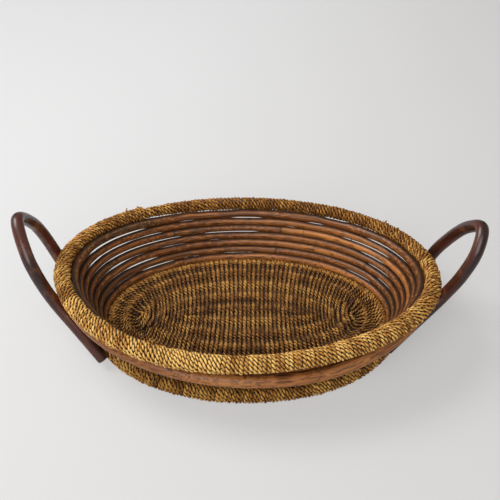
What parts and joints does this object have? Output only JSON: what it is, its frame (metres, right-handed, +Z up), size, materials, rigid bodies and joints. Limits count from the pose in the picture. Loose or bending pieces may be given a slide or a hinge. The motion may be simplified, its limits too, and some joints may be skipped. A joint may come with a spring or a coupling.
{
  "type": "seagrass basket",
  "caption": "Shallow oval basket: stacked cane hoop wall, twisted seagrass cord wound round rim and foot ring, woven floor, two bent pole loop handles.",
  "frame": {"origin": "middle of the object's outline on the plane that the foot ring stands on", "axes": "+X along the length of the basket towards the right handle, +Y towards the back, +Z up"},
  "size_m": [0.5668, 0.3654, 0.1799],
  "materials": {
    "seagrass_rim": "golden twisted seagrass cord, dry",
    "seagrass_foot": "golden brown twisted seagrass cord, dry",
    "seagrass_floor": "brown and green-brown twisted seagrass cord, dry",
    "cane_dark": "dark stained cane, satin",
    "cane_rail": "brown stained cane, satin, open grain",
    "handle_pole": "dark red-brown varnished pole, gloss",
    "nail_steel": "dull steel wire nail"
  },
  "bodies": {
    "root": {"rim_wrap_back": "seagrass_rim", "rim_wrap_front": "seagrass_rim", "rim_core_inner": "cane_dark", "rim_core_outer": "cane_dark", "wall_cane_1": "cane_dark", "wall_cane_2": "cane_dark", "wall_cane_3": "cane_dark", "wall_cane_4": "cane_dark", "wall_cane_5": "cane_dark", "wall_cane_6": "cane_dark", "wall_cane_7": "cane_dark", "front_rail": "cane_rail", "foot_wrap": "seagrass_foot", "foot_core": "cane_dark", "floor_border": "seagrass_floor", "floor_rod_1": "cane_dark", "floor_rod_2": "cane_dark", "floor_rod_3": "cane_dark", "floor_rod_4": "cane_dark", "floor_row_1": "seagrass_floor", "floor_row_2": "seagrass_floor", "floor_row_3": "seagrass_floor", "floor_row_4": "seagrass_floor", "floor_row_5": "seagrass_floor", "handle_left": "handle_pole", "handle_right": "handle_pole", "handle_left_rim_nail_front": "nail_steel", "handle_left_foot_nail_front": "nail_steel", "handle_left_rim_nail_rear": "nail_steel", "handle_left_foot_nail_rear": "nail_steel", "handle_right_rim_nail_front": "nail_steel", "handle_right_foot_nail_front": "nail_steel", "handle_right_rim_nail_rear": "nail_steel", "handle_right_foot_nail_rear": "nail_steel", "rail_nail_1": "nail_steel", "rail_nail_2": "nail_steel", "rail_nail_3": "nail_steel", "rail_nail_4": "nail_steel", "wall_brad_1": "nail_steel", "wall_brad_2": "nail_steel", "wall_brad_3": "nail_steel", "wall_brad_4": "nail_steel", "wall_brad_5": "nail_steel", "wall_brad_6": "nail_steel", "wall_brad_7": "nail_steel"}
  },
  "joints": []
}
